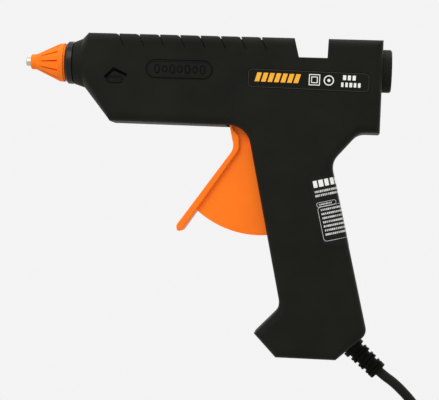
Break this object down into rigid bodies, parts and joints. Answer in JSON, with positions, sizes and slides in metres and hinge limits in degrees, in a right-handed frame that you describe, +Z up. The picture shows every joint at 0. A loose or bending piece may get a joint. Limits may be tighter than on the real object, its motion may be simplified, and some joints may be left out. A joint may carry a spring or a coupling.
{
  "type": "hot-melt glue gun",
  "caption": "Hand-held hot glue gun: split dark housing, orange trigger and nozzle cap, heated barrel, trigger-driven stick feed and mains cord.",
  "frame": {"origin": "middle of the hand grip, on the housing's joint plane", "axes": "-X towards the nozzle, +X towards the stick entry, +Z up, -Y is the left side with the label"},
  "size_m": [0.2291, 0.0303, 0.3075],
  "materials": {
    "housing_black": "fine satin texture",
    "collar_black": "smooth, soft shine",
    "nozzle_metal": "turned",
    "orange_silicone": "soft satin",
    "orange_plastic": "satin",
    "cast_aluminium": "as cast",
    "ceramic": "matt",
    "insulation": "matt film",
    "spring_steel": "bright",
    "steel": "zinc plated",
    "grey_silicone": "matt",
    "phenolic": "matt",
    "relief_rubber": "matt",
    "wire_insulation": "matt",
    "label_film": "printed film",
    "sticker_film": "printed film",
    "cord_rubber": "matt",
    "tie_fabric": "hook-and-loop strap",
    "plated_brass": "nickel plated",
    "carriage_plastic": "natural nylon"
  },
  "bodies": {
    "housing": {"left_housing_shell": "housing_black", "right_housing_shell": "housing_black", "nose_collar": "collar_black", "rear_guide_ring": "housing_black", "nozzle": "nozzle_metal", "nozzle_cap": "orange_silicone", "melt_chamber": "cast_aluminium", "ptc_heater": "ceramic", "heater_insulation": "insulation", "heater_clip": "spring_steel", "inlet_sleeve": "grey_silicone", "sleeve_clamp": "spring_steel", "front_support": "phenolic", "rear_support": "phenolic", "trigger_pin": "steel", "return_spring": "spring_steel", "spring_post": "steel", "housing_screws": "steel", "strain_relief": "relief_rubber", "cord_clamp": "phenolic", "clamp_screws": "steel", "lead_wires": "wire_insulation", "side_label": "label_film", "rating_sticker": "sticker_film", "cord": "cord_rubber", "cord_hank": "cord_rubber", "hank_tie": "tie_fabric", "cord_tail": "cord_rubber", "plug_body": "cord_rubber", "plug_pins": "plated_brass"},
    "trigger": {"trigger": "orange_plastic"},
    "feed": {"feed_carriage": "carriage_plastic", "feed_pin": "steel", "jaw_pin": "steel"},
    "jaw": {"gripper_jaw": "steel"}
  },
  "joints": [
    {"name": "trigger_hinge", "type": "hinge", "parent": "housing", "child": "trigger", "pos_m": [-0.0256, 0, 0.04815], "axis": [0, -1, 0], "range_deg": [0, 40], "stiffness_Nm_per_rad": 0.3, "springref_deg": -28.65, "deforming": ["return_spring"]},
    {"name": "feed_slide", "type": "slide", "parent": "housing", "child": "feed", "axis": [-1, 0, 0], "range_m": [0, 0.0204]},
    {"name": "jaw_tilt", "type": "hinge", "parent": "feed", "child": "jaw", "pos_m": [-0.0215, 0, 0.0754], "axis": [0, 1, 0], "range_deg": [0, 4]}
  ],
  "couplings": [
    {"joint": "feed_slide", "follows": "trigger_hinge", "m_per_rad": 0.02919},
    {"joint": "jaw_tilt", "follows": "trigger_hinge", "ratio": 0.1}
  ]
}
